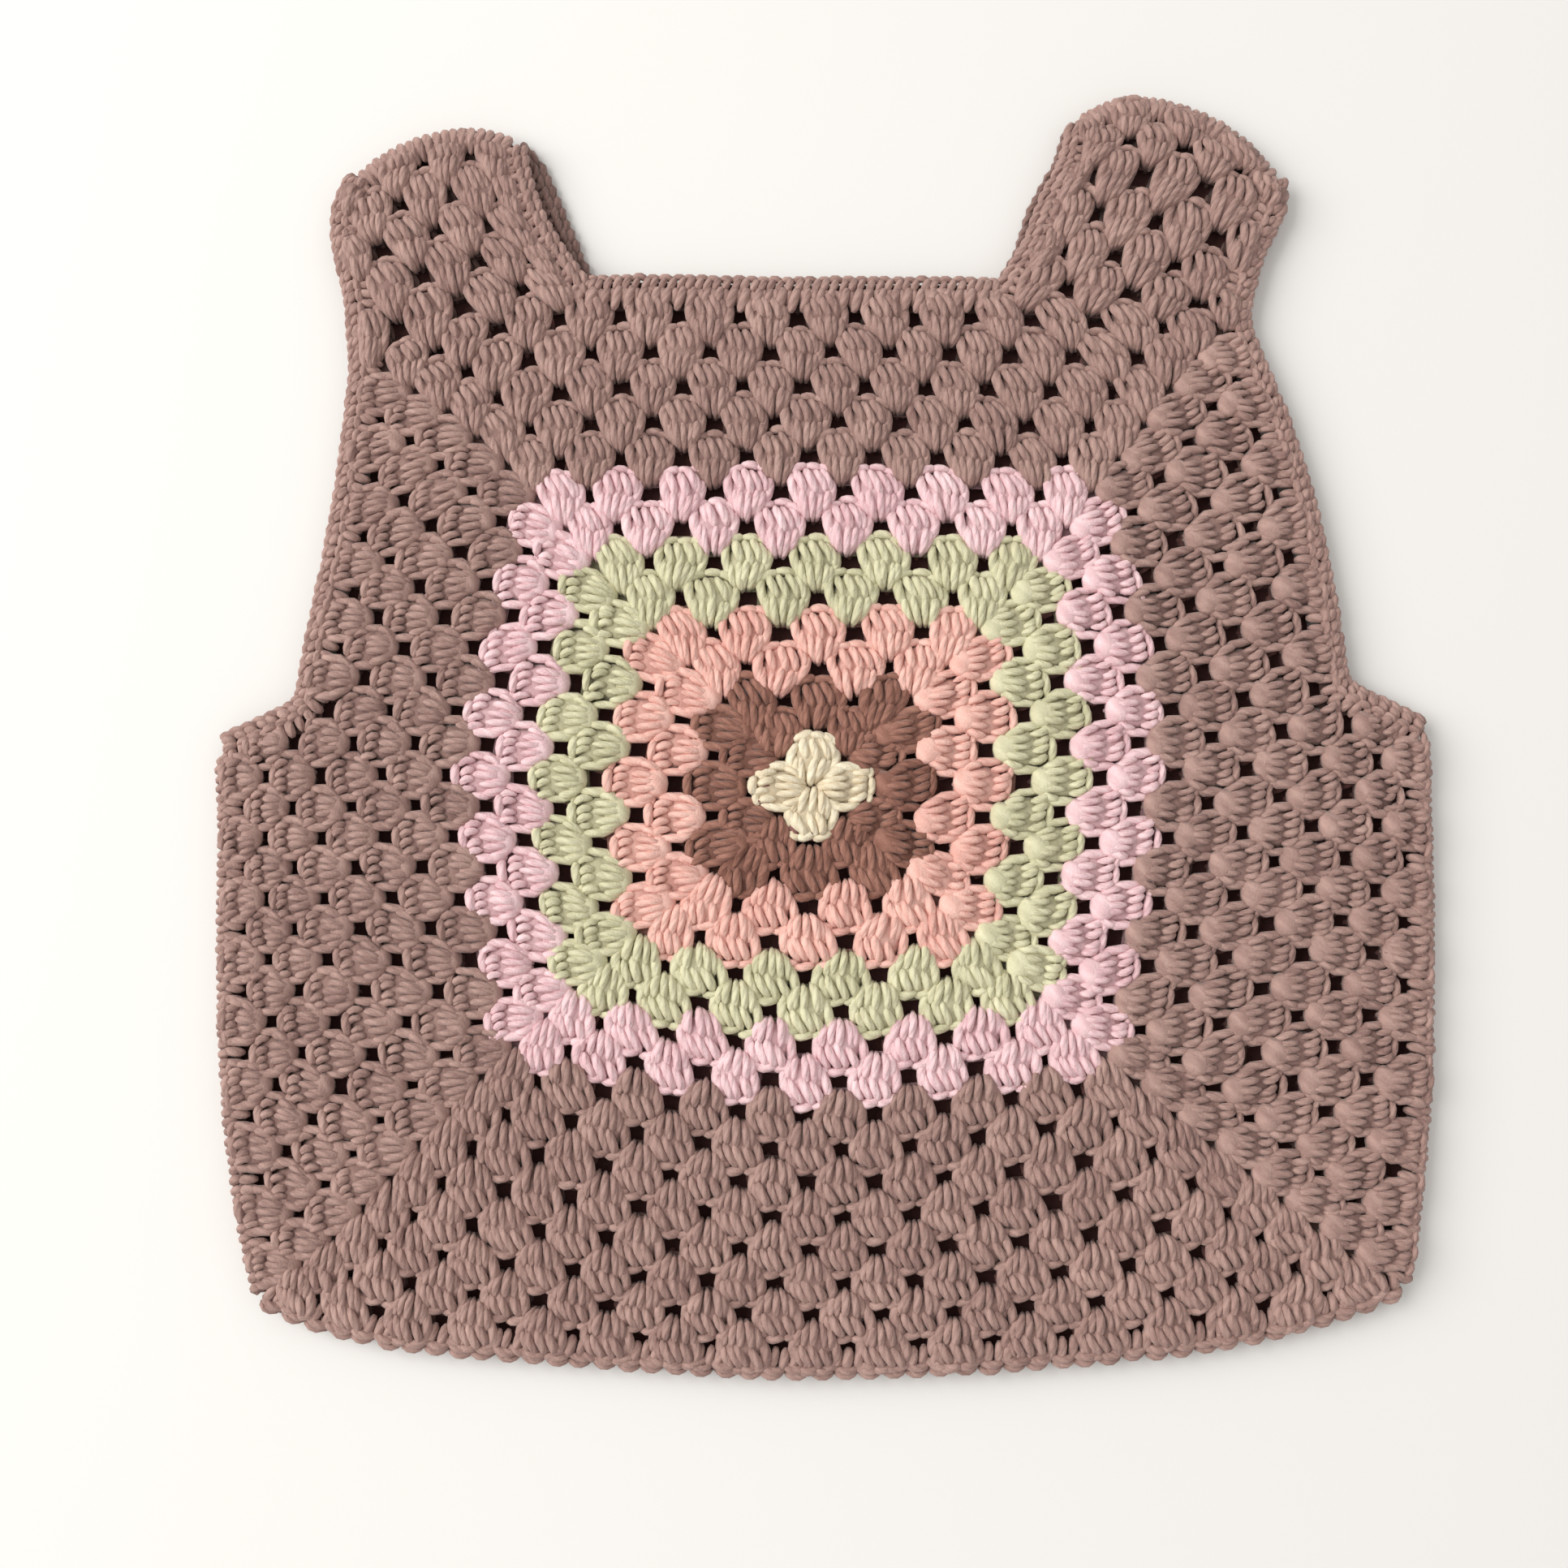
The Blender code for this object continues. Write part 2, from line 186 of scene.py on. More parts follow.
# Shader building
class Value:
    def __init__(self, tree, socket):
        self.tree, self.socket = tree, socket

    def maths(self, operation, *others, first=None):
        node = self.tree.nodes.new("ShaderNodeMath")
        node.operation = operation
        values = ([self] if first is None else [first, self]) + list(others)
        for slot, value in zip(node.inputs, values):
            if isinstance(value, Value):
                self.tree.links.new(value.socket, slot)
            else:
                slot.default_value = value
        return Value(self.tree, node.outputs[0])

    def __add__(self, other):
        return self.maths("ADD", other)

    def __radd__(self, other):
        return self.maths("ADD", first=other)

    def __sub__(self, other):
        return self.maths("SUBTRACT", other)

    def __rsub__(self, other):
        return self.maths("SUBTRACT", first=other)

    def __mul__(self, other):
        return self.maths("MULTIPLY", other)

    def __rmul__(self, other):
        return self.maths("MULTIPLY", first=other)

    def __truediv__(self, other):
        return self.maths("DIVIDE", other)

    def __rtruediv__(self, other):
        return self.maths("DIVIDE", first=other)


class Shader:
    def __init__(self, name, **constants):
        self.material = bpy.data.materials.new(name)
        self.material.use_nodes = True
        self.tree = self.material.node_tree
        self.surface = self.tree.nodes["Principled BSDF"]
        for socket, value in constants.items():
            self.surface.inputs[socket.replace("_", " ")].default_value = value

    def node(self, kind, settings=None, inputs=None, output=0):
        made = self.tree.nodes.new("ShaderNode" + kind)
        for name, value in (settings or {}).items():
            setattr(made, name, value)
        for key, value in (inputs or {}).items():
            if isinstance(value, Value):
                self.tree.links.new(value.socket, made.inputs[key])
            else:
                made.inputs[key].default_value = value
        return Value(self.tree, made.outputs[output])

    def mix(self, factor, first, second):
        # colours: 0 gives first, 1 gives second
        settings = dict(data_type="RGBA", clamp_factor=True)
        return self.node("Mix", settings, {0: factor, 6: first, 7: second}, 2)

    def feed(self, socket, value):
        self.tree.links.new(value.socket, self.surface.inputs[socket])


def sRgb(r, g, b):
    # a colour as a dyer's swatch reads, 0 to 255, to light
    return tuple(((c / 255 + 0.055) / 1.055) ** 2.4 if c > 10 else c / 3294.6 for c in (r, g, b)) + (1.0,)


# Yarns: the colour of a strand painted lit, of its painted shaded side, and the painted shade of the depth
# between strands
yarns = dict(
    cream=dict(lit=(255, 248, 224), shade=(218, 198, 164), deep=(120, 96, 70)),
    cocoa=dict(lit=(178, 130, 114), shade=(118, 78, 66), deep=(56, 28, 22)),
    coral=dict(lit=(252, 207, 194), shade=(218, 161, 149), deep=(118, 64, 56)),
    sage=dict(lit=(233, 229, 195), shade=(188, 184, 149), deep=(102, 92, 70)),
    pink=dict(lit=(254, 223, 226), shade=(216, 172, 178), deep=(122, 76, 80)),
    mauve=dict(lit=(194, 161, 151), shade=(138, 107, 101), deep=(76, 48, 45)),
    # painted shade: a darker copy of the mauve for the back layer's straps and edgings, which lie in shade
    mauveShadedBack=dict(lit=(158, 128, 120), shade=(108, 82, 76), deep=(50, 32, 30)),
    # painted shade: a darker mauve for the back layer, seen in deep shade through the front's holes
    mauveShadedInside=dict(lit=(150, 106, 100), shade=(128, 86, 82), deep=(92, 58, 54)),
)
ply = dict(plies=4, twist=0.22, depth=0.16)          # twist is turns a mm along the strand, depth is mm
fuzzScales = dict(fibre=14.0, fuzz=1500.0, patch=110.0)


def yarnMaterial(name):
    dye = {key: sRgb(*value) for key, value in yarns[name].items()}
    shader = Shader("yarn_" + name, Roughness=0.86, Specular_IOR_Level=0.2, Sheen_Weight=0.22,
                    Sheen_Roughness=0.45, Sheen_Tint=(1, 0.95, 0.92, 1))
    strand = shader.node("Attribute", dict(attribute_name="strand"))
    # tone varies at random; depth is the mask of painted shade, low at the strand tips and in the cores
    tone, depth = [shader.node("SeparateColor", inputs={0: strand}, output=k) for k in range(2)]
    sweep = shader.node("UVMap", dict(uv_map="yarn"))
    along, around = [shader.node("SeparateXYZ", inputs={0: sweep}, output=k) for k in range(2)]
    turn = (around + along * ply["twist"] / ply["plies"]) * (2 * math.pi * ply["plies"])
    ridge = turn.maths("SINE") * 0.5 + 0.5
    lay = (around + along * 0.04) * fuzzScales["fibre"]
    spun = shader.node("CombineXYZ", inputs={0: along * 0.5, 1: lay, 2: tone * 40.0})
    fibre = shader.node("TexNoise", inputs={"Vector": spun, "Scale": 1.0, "Detail": 3.0})
    body = shader.node("TexCoord", output=3)
    fuzz = shader.node("TexNoise", inputs={"Vector": body, "Scale": fuzzScales["fuzz"], "Detail": 2.0})
    patch = shader.node("TexNoise", inputs={"Vector": body, "Scale": fuzzScales["patch"], "Detail": 2.0})
    # painted light and shade: random tone and noise, with the ply ridges painted lighter on their crowns and
    # darker in the grooves between plies, pick between the painted shaded and lit colours
    light = tone * 0.6 + ridge * 0.26 + fibre * 0.8 + fuzz * 0.3 + patch * 0.5 - 0.73
    colour = shader.mix(light, dye["shade"], dye["lit"])
    # painted shade: where the depth channel is low (the strand tips and the cores), the colour is darkened
    # to the painted crevice shade colour
    shader.feed("Base Color", shader.mix(depth, dye["deep"], colour))
    height = ridge * 0.7 + fibre * 0.8 + fuzz * 0.9
    relief = {"Strength": 0.85, "Distance": ply["depth"] * mm * 2, "Height": height}
    bump = shader.node("Bump", inputs=relief)
    shader.feed("Normal", bump)
    return shader.material


def webMaterial(name, colour):
    # the ground under the stitches, painted in their shade as the shade between them
    shader = Shader("web_" + name, Roughness=0.95, Specular_IOR_Level=0.1)
    body = shader.node("TexCoord", output=3)
    fibre = shader.node("TexNoise", inputs={"Vector": body, "Scale": 700.0, "Detail": 3.0})
    light = sRgb(*colour)
    dark = tuple(c * 0.6 for c in light[:3]) + (1.0,)
    shader.feed("Base Color", shader.mix(fibre, dark, light))
    bump = shader.node("Bump", inputs={"Strength": 0.4, "Distance": 0.3 * mm, "Height": fibre})
    shader.feed("Normal", bump)
    return shader.material


# Strands: many short lengths of yarn swept into one mesh
def smoothPaths(points, stations):
    # points: (..., knots, values), read at places 0 to 1 along
    knots = np.linspace(0, 1, points.shape[-2])
    return np.einsum("sk,...kv->...sv", knotWeights(knots, stations), points)


def strandGroup(paths, radii, tones, outOfShade, sides=6, heights=None):
    # paths (strand, station, xyz), radii and heights in mm; the first and last stations are the tips
    heights = radii if heights is None else heights
    count, stations = radii.shape
    tangent = np.gradient(paths, axis=1)
    tangent /= np.linalg.norm(tangent, axis=2, keepdims=True) + 1e-9
    side = np.cross(tangent, (0.0, 0.0, 1.0))
    side /= np.linalg.norm(side, axis=2, keepdims=True) + 1e-9
    lift = np.cross(side, tangent)
    angles = 2 * np.pi * np.arange(sides) / sides
    rings = slice(1, stations - 1)
    wide = side[:, rings, None] * (np.cos(angles)[:, None] * radii[:, rings, None, None])
    tall = lift[:, rings, None] * (np.sin(angles)[:, None] * heights[:, rings, None, None])
    body = paths[:, rings, None] + wide + tall
    inner = stations - 2
    perStrand = inner * sides + 2
    points = np.concatenate([body.reshape(count, -1, 3), paths[:, [0, -1]]], axis=1).reshape(-1, 3)
    s = np.arange(sides)
    after = (s + 1) % sides
    quads = np.concatenate([np.stack([r * sides + s, r * sides + after, (r + 1) * sides + after,
                                      (r + 1) * sides + s], 1) for r in range(inner - 1)])
    head, tail, last = inner * sides, inner * sides + 1, (inner - 1) * sides
    tips = np.concatenate([np.stack([np.full(sides, head), after, s], 1),
                           np.stack([np.full(sides, tail), last + s, last + after], 1)])
    steps = np.linalg.norm(np.diff(paths, axis=1), axis=2)
    length = np.concatenate([np.zeros((count, 1)), np.cumsum(steps, axis=1)], axis=1)
    length += rng.random((count, 1)) * 5
    quadRings = np.concatenate([np.tile([[r, r, r + 1, r + 1]], (sides, 1)) for r in range(1, inner)])
    quadTurns = np.tile(np.stack([s, s + 1, s + 1, s], 1), (inner - 1, 1)) / sides
    tipRings = np.concatenate([np.tile([[0, 1, 1]], (sides, 1)), np.tile([[-1, -2, -2]], (sides, 1))])
    tipTurns = np.concatenate([np.stack([s + 0.5, s + 1, s], 1), np.stack([s + 0.5, s, s + 1], 1)]) / sides
    first = (np.arange(count) * perStrand)[:, None, None]
    # the strand attribute: a random tone, then how far each point lies out of the painted shade
    shade = np.ones((len(points), 4))
    shade[:, 0] = np.repeat(tones, perStrand)
    shade[:, 1] = np.concatenate([np.repeat(outOfShade[:, rings], sides, axis=1), outOfShade[:, [0, -1]]], 1).ravel()
    return dict(points=points, shade=shade,
                quads=(quads[None] + first).reshape(-1, 4), tips=(tips[None] + first).reshape(-1, 3),
                quadAlong=length[:, quadRings].ravel(), quadTurn=np.tile(quadTurns.ravel(), count),
                tipAlong=length[:, tipRings].ravel(), tipTurn=np.tile(tipTurns.ravel(), count))


def strandMesh(name, groups, material):
    starts = np.cumsum([0] + [len(group["points"]) for group in groups])
    points = np.concatenate([group["points"] for group in groups])
    points[:, 2] = np.maximum(points[:, 2], 0.05)      # nothing sinks into the floor
    quads = np.concatenate([group["quads"] + start for group, start in zip(groups, starts)])
    tips = np.concatenate([group["tips"] + start for group, start in zip(groups, starts)])
    along = np.concatenate([group[key] for key in ("quadAlong", "tipAlong") for group in groups])
    turn = np.concatenate([group[key] for key in ("quadTurn", "tipTurn") for group in groups])
    mesh = bpy.data.meshes.new(name)
    mesh.vertices.add(len(points))
    mesh.vertices.foreach_set("co", ((points + [*toFrame, 0]) * mm).astype(np.float32).ravel())
    corners = np.concatenate([quads.ravel(), tips.ravel()]).astype(np.int32)
    mesh.loops.add(len(corners))
    mesh.loops.foreach_set("vertex_index", corners)
    totals = np.concatenate([np.full(len(quads), 4), np.full(len(tips), 3)])
    mesh.polygons.add(len(totals))
    mesh.polygons.foreach_set("loop_start", (np.cumsum(totals) - totals).astype(np.int32))
    mesh.update(calc_edges=True)
    mesh.uv_layers.new(name="yarn")
    mesh.uv_layers["yarn"].data.foreach_set("uv", np.stack([along, turn], 1).astype(np.float32).ravel())
    attribute = mesh.attributes.new("strand", "FLOAT_COLOR", "POINT")
    shade = np.concatenate([group["shade"] for group in groups])
    attribute.data.foreach_set("color", shade.astype(np.float32).ravel())
    mesh.shade_smooth()
    mesh.materials.append(material)
    piece = bpy.data.objects.new(name, mesh)
    bpy.context.collection.objects.link(piece)
    print(name, 2 * len(quads) + len(tips), "triangles")
    return piece


# One cluster of three tall stitches. Each strand has four places (u across, v out, z up in mm), then its
# half width in mm. u and v are in rows of the chart, and v counts from the round's outer edge.
cluster = dict(
    legs=(
        ((-0.20, -1.24, 5.0), (-0.33, -1.06, 7.9), (-0.42, -0.80, 8.5), (-0.45, -0.42, 7.6), 1.4),
        ((-0.12, -1.31, 4.9), (-0.20, -1.10, 8.8), (-0.25, -0.82, 9.2), (-0.27, -0.40, 8.0), 1.35),
        ((0.00, -1.33, 4.9), (-0.01, -1.10, 9.1), (0.01, -0.82, 9.4), (0.04, -0.42, 8.2), 1.35),
        ((0.11, -1.31, 4.9), (0.18, -1.10, 8.8), (0.25, -0.84, 9.2), (0.30, -0.50, 8.0), 1.35),
        ((0.20, -1.25, 5.0), (0.32, -1.06, 8.0), (0.42, -0.82, 8.4), (0.47, -0.52, 7.5), 1.4),
    ),
    edges=(
        ((-0.56, 0.06, 6.4), (-0.64, -0.18, 7.8), (-0.59, -0.52, 7.9), (-0.38, -1.02, 6.9), 1.65),
        ((0.64, -0.06, 6.2), (0.65, -0.36, 7.2), (0.57, -0.70, 7.3), (0.38, -1.04, 6.6), 1.6),
    ),
    wraps=(
        ((-0.42, 0.13, 6.6), (-0.38, -0.06, 8.4), (-0.28, -0.26, 9.0), (-0.14, -0.56, 8.4), 1.55),
        ((-0.16, 0.15, 6.7), (-0.08, -0.08, 8.5), (0.04, -0.32, 9.2), (0.14, -0.66, 8.5), 1.55),
        ((0.08, 0.14, 6.6), (0.18, -0.06, 8.4), (0.32, -0.28, 8.9), (0.40, -0.60, 8.2), 1.5),
        ((0.30, 0.10, 6.3), (0.44, -0.08, 7.7), (0.54, -0.32, 8.0), (0.57, -0.62, 7.3), 1.45),
    ),
    core=((0.0, -1.22, 5.2), (0.0, -0.95, 6.9), (0.0, -0.45, 7.3), (0.02, 0.14, 6.2)),
    # a smooth roll over the foot of the legs, on the two sides
    foot=((0.0, -1.27, 5.0), (0.0, -1.14, 7.3), (0.0, -0.92, 7.9), (0.0, -0.60, 7.0)),
)
# On the two sides the strands show as short fingers inside a crown of loops
sideCluster = dict(
    legs=(
        ((-0.16, -1.22, 5.4), (-0.30, -1.00, 8.0), (-0.42, -0.78, 8.7), (-0.51, -0.54, 8.1), 1.35),
        ((-0.08, -1.26, 5.4), (-0.14, -1.02, 8.7), (-0.20, -0.76, 9.5), (-0.26, -0.42, 9.0), 1.3),
        ((0.00, -1.27, 5.4), (0.00, -1.02, 9.0), (0.01, -0.74, 9.7), (0.02, -0.37, 9.2), 1.3),
        ((0.08, -1.26, 5.4), (0.14, -1.02, 8.7), (0.21, -0.76, 9.5), (0.27, -0.44, 8.9), 1.3),
        ((0.16, -1.22, 5.4), (0.30, -1.00, 8.0), (0.43, -0.80, 8.6), (0.52, -0.57, 7.9), 1.35),
    ),
    edges=(
        ((-0.26, -1.06, 6.6), (-0.54, -0.74, 7.4), (-0.65, -0.36, 7.7), (-0.68, 0.00, 6.6), 1.5),
        ((0.26, -1.06, 6.6), (0.54, -0.76, 7.3), (0.65, -0.38, 7.6), (0.70, -0.02, 6.5), 1.5),
    ),
    wraps=(
        ((-0.60, 0.04, 6.6), (-0.52, 0.03, 7.9), (-0.42, -0.13, 8.5), (-0.39, -0.40, 7.5), 1.3),
        ((-0.30, 0.08, 6.6), (-0.23, 0.00, 8.2), (-0.13, -0.14, 8.8), (-0.11, -0.36, 7.6), 1.3),
        ((-0.02, 0.08, 6.6), (0.07, 0.00, 8.2), (0.16, -0.14, 8.8), (0.17, -0.36, 7.6), 1.3),
        ((0.26, 0.06, 6.5), (0.35, 0.00, 8.0), (0.44, -0.14, 8.4), (0.43, -0.40, 7.5), 1.3),
    ),
    core=((0.0, -1.22, 5.2), (0.0, -0.95, 6.8), (0.0, -0.45, 6.7), (0.02, 0.12, 5.8)),
    foot=cluster["foot"],
)
# The loops along a cluster's outer edge, side by side: top, right, bottom, left
outerChain = (
    (((-0.90, -0.10, 5.8), (-0.66, 0.02, 6.9), (-0.36, 0.16, 7.1), (-0.10, 0.17, 6.6), 1.6),
     ((-0.24, 0.17, 6.3), (-0.04, 0.21, 7.0), (0.18, 0.20, 7.1), (0.40, 0.12, 6.5), 1.5),
     ((0.16, 0.14, 6.2), (0.40, 0.14, 7.0), (0.68, 0.00, 6.8), (0.90, -0.12, 5.8), 1.6)),
    (((-1.02, 0.12, 5.8), (-0.75, 0.15, 6.9), (-0.45, 0.17, 7.4), (-0.15, 0.13, 6.5), 1.25),
     ((-0.35, 0.13, 6.5), (-0.10, 0.18, 7.7), (0.20, 0.18, 7.7), (0.50, 0.13, 6.5), 1.3),
     ((0.30, 0.13, 6.5), (0.55, 0.17, 7.4), (0.80, 0.15, 6.9), (1.02, 0.12, 5.8), 1.25)),
    (((-0.92, -0.06, 5.9), (-0.62, 0.04, 7.1), (-0.34, 0.17, 7.3), (-0.06, 0.20, 6.5), 1.55),
     ((-0.18, 0.10, 6.4), (0.02, 0.16, 7.3), (0.26, 0.22, 7.3), (0.48, 0.18, 6.4), 1.5),
     ((0.26, 0.06, 6.2), (0.46, 0.13, 7.1), (0.70, 0.06, 6.8), (0.92, -0.08, 5.8), 1.5)),
    (((-0.40, 0.11, 6.8), (-0.16, 0.16, 8.3), (0.15, 0.16, 8.3), (0.38, 0.11, 6.8), 1.5),
     ((-0.92, -0.02, 5.8), (-0.70, 0.06, 6.7), (-0.46, 0.10, 7.0), (-0.26, 0.10, 6.4), 1.4),
     ((0.24, 0.10, 6.2), (0.46, 0.10, 6.9), (0.70, 0.04, 6.7), (0.92, -0.04, 5.8), 1.4)),
)
# The same, plainer, for the back layer
backCluster = dict(
    legs=(
        ((-0.22, -1.25, 1.5), (-0.42, -1.00, 2.5), (-0.58, -0.75, 2.6), (-0.62, -0.40, 2.3), 1.3),
        ((0.00, -1.30, 1.5), (0.00, -1.05, 2.8), (0.00, -0.75, 2.9), (0.02, -0.40, 2.5), 1.3),
        ((0.22, -1.25, 1.5), (0.42, -1.00, 2.5), (0.56, -0.75, 2.6), (0.62, -0.45, 2.3), 1.3),
    ),
    wraps=(
        ((-0.55, 0.10, 1.9), (-0.50, -0.15, 2.6), (-0.38, -0.40, 2.7), (-0.20, -0.65, 2.4), 1.4),
        ((-0.10, 0.14, 1.9), (0.00, -0.15, 2.7), (0.15, -0.40, 2.8), (0.30, -0.70, 2.4), 1.4),
        ((0.35, 0.10, 1.9), (0.50, -0.15, 2.5), (0.62, -0.40, 2.5), (0.68, -0.65, 2.2), 1.4),
    ),
    core=((0.0, -1.24, 1.9), (0.0, -0.95, 1.9), (0.0, -0.45, 1.9), (0.02, 0.22, 1.9)),
    foot=((0.0, -1.24, 1.9), (0.0, -0.95, 1.9), (0.0, -0.45, 1.9), (0.02, 0.22, 1.9)),
)
# How the strands are swept: stations along, the width there, and how far out of the painted shade of the
# depth they lie (low values are painted dark)
fine = dict(
    sides=6,
    stations=(0, 0.035, 0.2, 0.42, 0.64, 0.84, 0.968, 1),
    width=(0, 0.5, 0.9, 1.0, 1.0, 0.9, 0.52, 0),
    depth=(0.3, 0.5, 0.95, 1.0, 1.0, 1.0, 0.9, 0.8),
    coreSides=8,
    coreStations=(0, 0.04, 0.2, 0.42, 0.66, 0.86, 0.97, 1),
    coreWidth=(0, 2.3, 4.3, 5.9, 6.2, 5.2, 3.0, 0),      # mm
    coreHeight=(0, 0.9, 1.8, 2.1, 2.0, 1.6, 1.0, 0),
    # the cores and the foot rolls: how far out of the painted shade they lie, the cores painted darkest
    coreDepth=(0.0, 0.3, 0.6, 0.65, 0.65, 0.6, 0.5, 0.3),
    footWidth=(0, 2.9, 4.3, 4.8, 4.4, 3.3, 1.7, 0),
    footHeight=(0, 1.2, 2.0, 2.2, 2.1, 1.8, 1.0, 0),
    footDepth=(0.4, 0.7, 1.0, 1.0, 1.0, 1.0, 0.9, 0.8),
)
plain = dict(
    sides=5,
    stations=(0, 0.08, 0.36, 0.68, 0.94, 1),
    width=(0, 0.7, 1.0, 1.0, 0.65, 0),
    # how far out of the painted shade of the depth, as above
    depth=(0.3, 0.7, 1.0, 1.0, 0.9, 0.8),
    coreSides=6,
    coreStations=(0, 0.08, 0.36, 0.72, 0.95, 1),
    coreWidth=(0, 3.2, 6.3, 7.4, 4.4, 0),
    coreHeight=(0, 1.2, 1.5, 1.5, 1.2, 0),
    coreDepth=(0.0, 0.4, 0.7, 0.7, 0.6, 0.3),
)


def clusterPlaces(side, p, n, u, v):
    # local places of a cluster of round n on a side (0 top, 1 right, 2 bottom, 3 left) to the chart
    along, out = p + u, n + v
    return {0: (along, out), 1: (out, -along), 2: (-along, -out), 3: (-out, along)}[side]


def squeeze(u, low, high):
    # keeps a cluster that stands at an edge inside it
    return np.where(u > 0, u * min(high / 0.78, 1), u * min(-low / 0.78, 1))


# How clusters differ from one another, in rows of the chart, and the special ones
sway = dict(width=0.02, lean=0.07, tone=0.1, shift=(0.02, 0.025, 0.15),      # the whole cluster: u, v, z
            strand=(0.028, 0.03, 0.2), strandTone=0.14, strandWidth=0.07)   # each strand
cornerCluster = dict(outerSide=0.84, innerSide=0.92, shift=0.03, lean=0.42, lift=0.02, sink=0.12)
firstCocoa = dict(width=0.86, length=0.96, out=0.12)
petal = dict(half=0.6, narrow=0.12, taper=0.34, up=1.1, rim=9.0, out=0.34)
rightFootLift = 0.8        # mm


def bendCluster(u, v, z, p, n, baseWidth, atCorner, local):
    # changes the places of one cluster: its own sway, then the corner, cocoa and flower shapes
    lower = np.clip((-0.45 - v) / 0.85, 0, 1)
    u *= (1 + lower * (baseWidth - 1)) * local.normal(1, sway["width"])
    u += (v + 0.5) * local.normal(0, sway["lean"])
    if atCorner:
        u *= np.where(u * p > 0, cornerCluster["outerSide"], cornerCluster["innerSide"])
        lean = cornerCluster["lean"] * np.clip((0.2 - v) / 1.5, 0, 1) ** 0.8
        u -= np.sign(p) * (cornerCluster["shift"] + lean)
        v += cornerCluster["lift"] - cornerCluster["sink"] * lower
    if n == 2:
        u *= firstCocoa["width"]
        v *= firstCocoa["length"]
        v += firstCocoa["out"]
    if n == 1:
        z += petal["up"]
        z[:] = np.where(v > -0.3, np.maximum(z, petal["rim"] - 1.2 * np.abs(u)), z)
        tip = np.clip((v + 0.4) / 0.6, 0, 1) ** 1.5
        slim = 1 - petal["narrow"] * lower - petal["taper"] * tip
        u[:] = np.clip(u, -petal["half"], petal["half"]) * slim
        v += petal["out"]


def puffGroup(paths, tones, sweep, part, narrow):
    # the soft cores inside the clusters, or the rolls over their feet; both carry painted shade of the
    # depth, the cores the darkest
    count = len(paths)
    return strandGroup(smoothPaths(np.concatenate(paths), sweep["coreStations"]),
                       sweep[part + "Width"] * narrow, np.concatenate(tones),
                       np.tile(sweep[part + "Depth"], (count, 1)), sweep["coreSides"],
                       np.tile(sweep[part + "Height"], (count, 1)))


def addClusters(wanted, mapping, seed, kind=cluster, sweep=fine, baseWidths=(1.0, 1.45, 1.25, 1.45)):
    # wanted: (side, p, n, room to the left, room to the right) for each cluster; gives groups for strandMesh
    local = np.random.default_rng(seed)
    edges = outerChain if kind is cluster else ((),) * 4
    perSide, sideWidths = [], []
    for i, edge in enumerate(edges):
        shown = sideCluster if kind is cluster and i % 2 else kind
        table = [strand for part in ("legs", "edges", "wraps") for strand in shown.get(part, ())]
        table += edge
        perSide.append(np.array([strand[:4] for strand in table] + [shown["core"], shown["foot"]], float))
        sideWidths.append(np.array([strand[4] for strand in table]))
    count = len(sideWidths[0])
    paths, radii, tones, cores, coreTones, feet, feetTones = [], [], [], [], [], [], []
    for side, p, n, low, high in wanted:
        points = perSide[side].copy()
        u, v, z = points[..., 0], points[..., 1], points[..., 2]
        atCorner = abs(p) == n - 1 and n > 2 and mapping is laid
        bendCluster(u, v, z, p, n, baseWidths[side], atCorner, local)
        u[:] = squeeze(u, low, high)
        for place, strand, shift in zip((u, v, z), sway["strand"], sway["shift"]):
            place += local.normal(0, strand, (count + 2, 1)) + local.normal(0, shift)
        column, row = clusterPlaces(side, p, n, u, v)
        place = np.concatenate([mapping(np.stack([column, row], -1)), z[..., None]], -1)
        tone = 0.5 + local.normal(0, sway["tone"])
        thin = min(1, 0.55 + (high - low) / 3.5)
        paths.append(place[:count])
        radii.append(sideWidths[side] * (1 + local.normal(0, sway["strandWidth"], count)) * thin)
        tones.append(tone + local.normal(0, sway["strandTone"], count))
        if side == 1:
            place[count + 1:, :, 2] += rightFootLift
        cores.append(place[count:count + 1])
        coreTones.append([tone])
        if side % 2 and n > 2:
            feet.append(place[count + 1:])
            # painted light: the foot rolls are painted a little lighter in tone than their cluster
            feetTones.append([tone + 0.1])
    strands = strandGroup(smoothPaths(np.concatenate(paths), sweep["stations"]),
                          np.concatenate(radii)[:, None] * np.array(sweep["width"]),
                          np.clip(np.concatenate(tones), 0, 1),
                          np.tile(sweep["depth"], (len(wanted) * count, 1)), sweep["sides"])
    narrow = np.array([min(1, (high - low) / 1.5) for _, _, _, low, high in wanted])[:, None]
    puffs = puffGroup(cores, coreTones, sweep, "core", narrow)
    if not feet or "footWidth" not in sweep:
        return [strands, puffs]
    return [strands, puffs, puffGroup(feet, feetTones, sweep, "foot", np.ones((len(feet), 1)))]


def underarm(column):
    # the row where the body ends below an armhole
    inner, outer, armhole = chart["underarmInner"], chart["underarmOuter"], chart["armhole"]
    return inner + (outer - inner) * (abs(column) - armhole) / (chart["bodyEdge"] - armhole)


def roundClusters(n):
    # every cluster of a round: all four sides, or the stretch below the armholes
    made = []
    for side in range(4):
        for i in range(n):
            p = 2 * i - n + 1
            low, high = -1.0, 1.0
            if n > chart["yokeEdge"]:
                if side == 0:
                    continue
                top = underarm(n - 0.5)
                if side != 2:
                    room = top - (-p if side == 1 else p)
                    if room < 0.2:
                        continue
                    low, high = (-min(room, 1), 1.0) if side == 1 else (-1.0, min(room, 1))
            made.append((side, p, n, low, high))
    return made


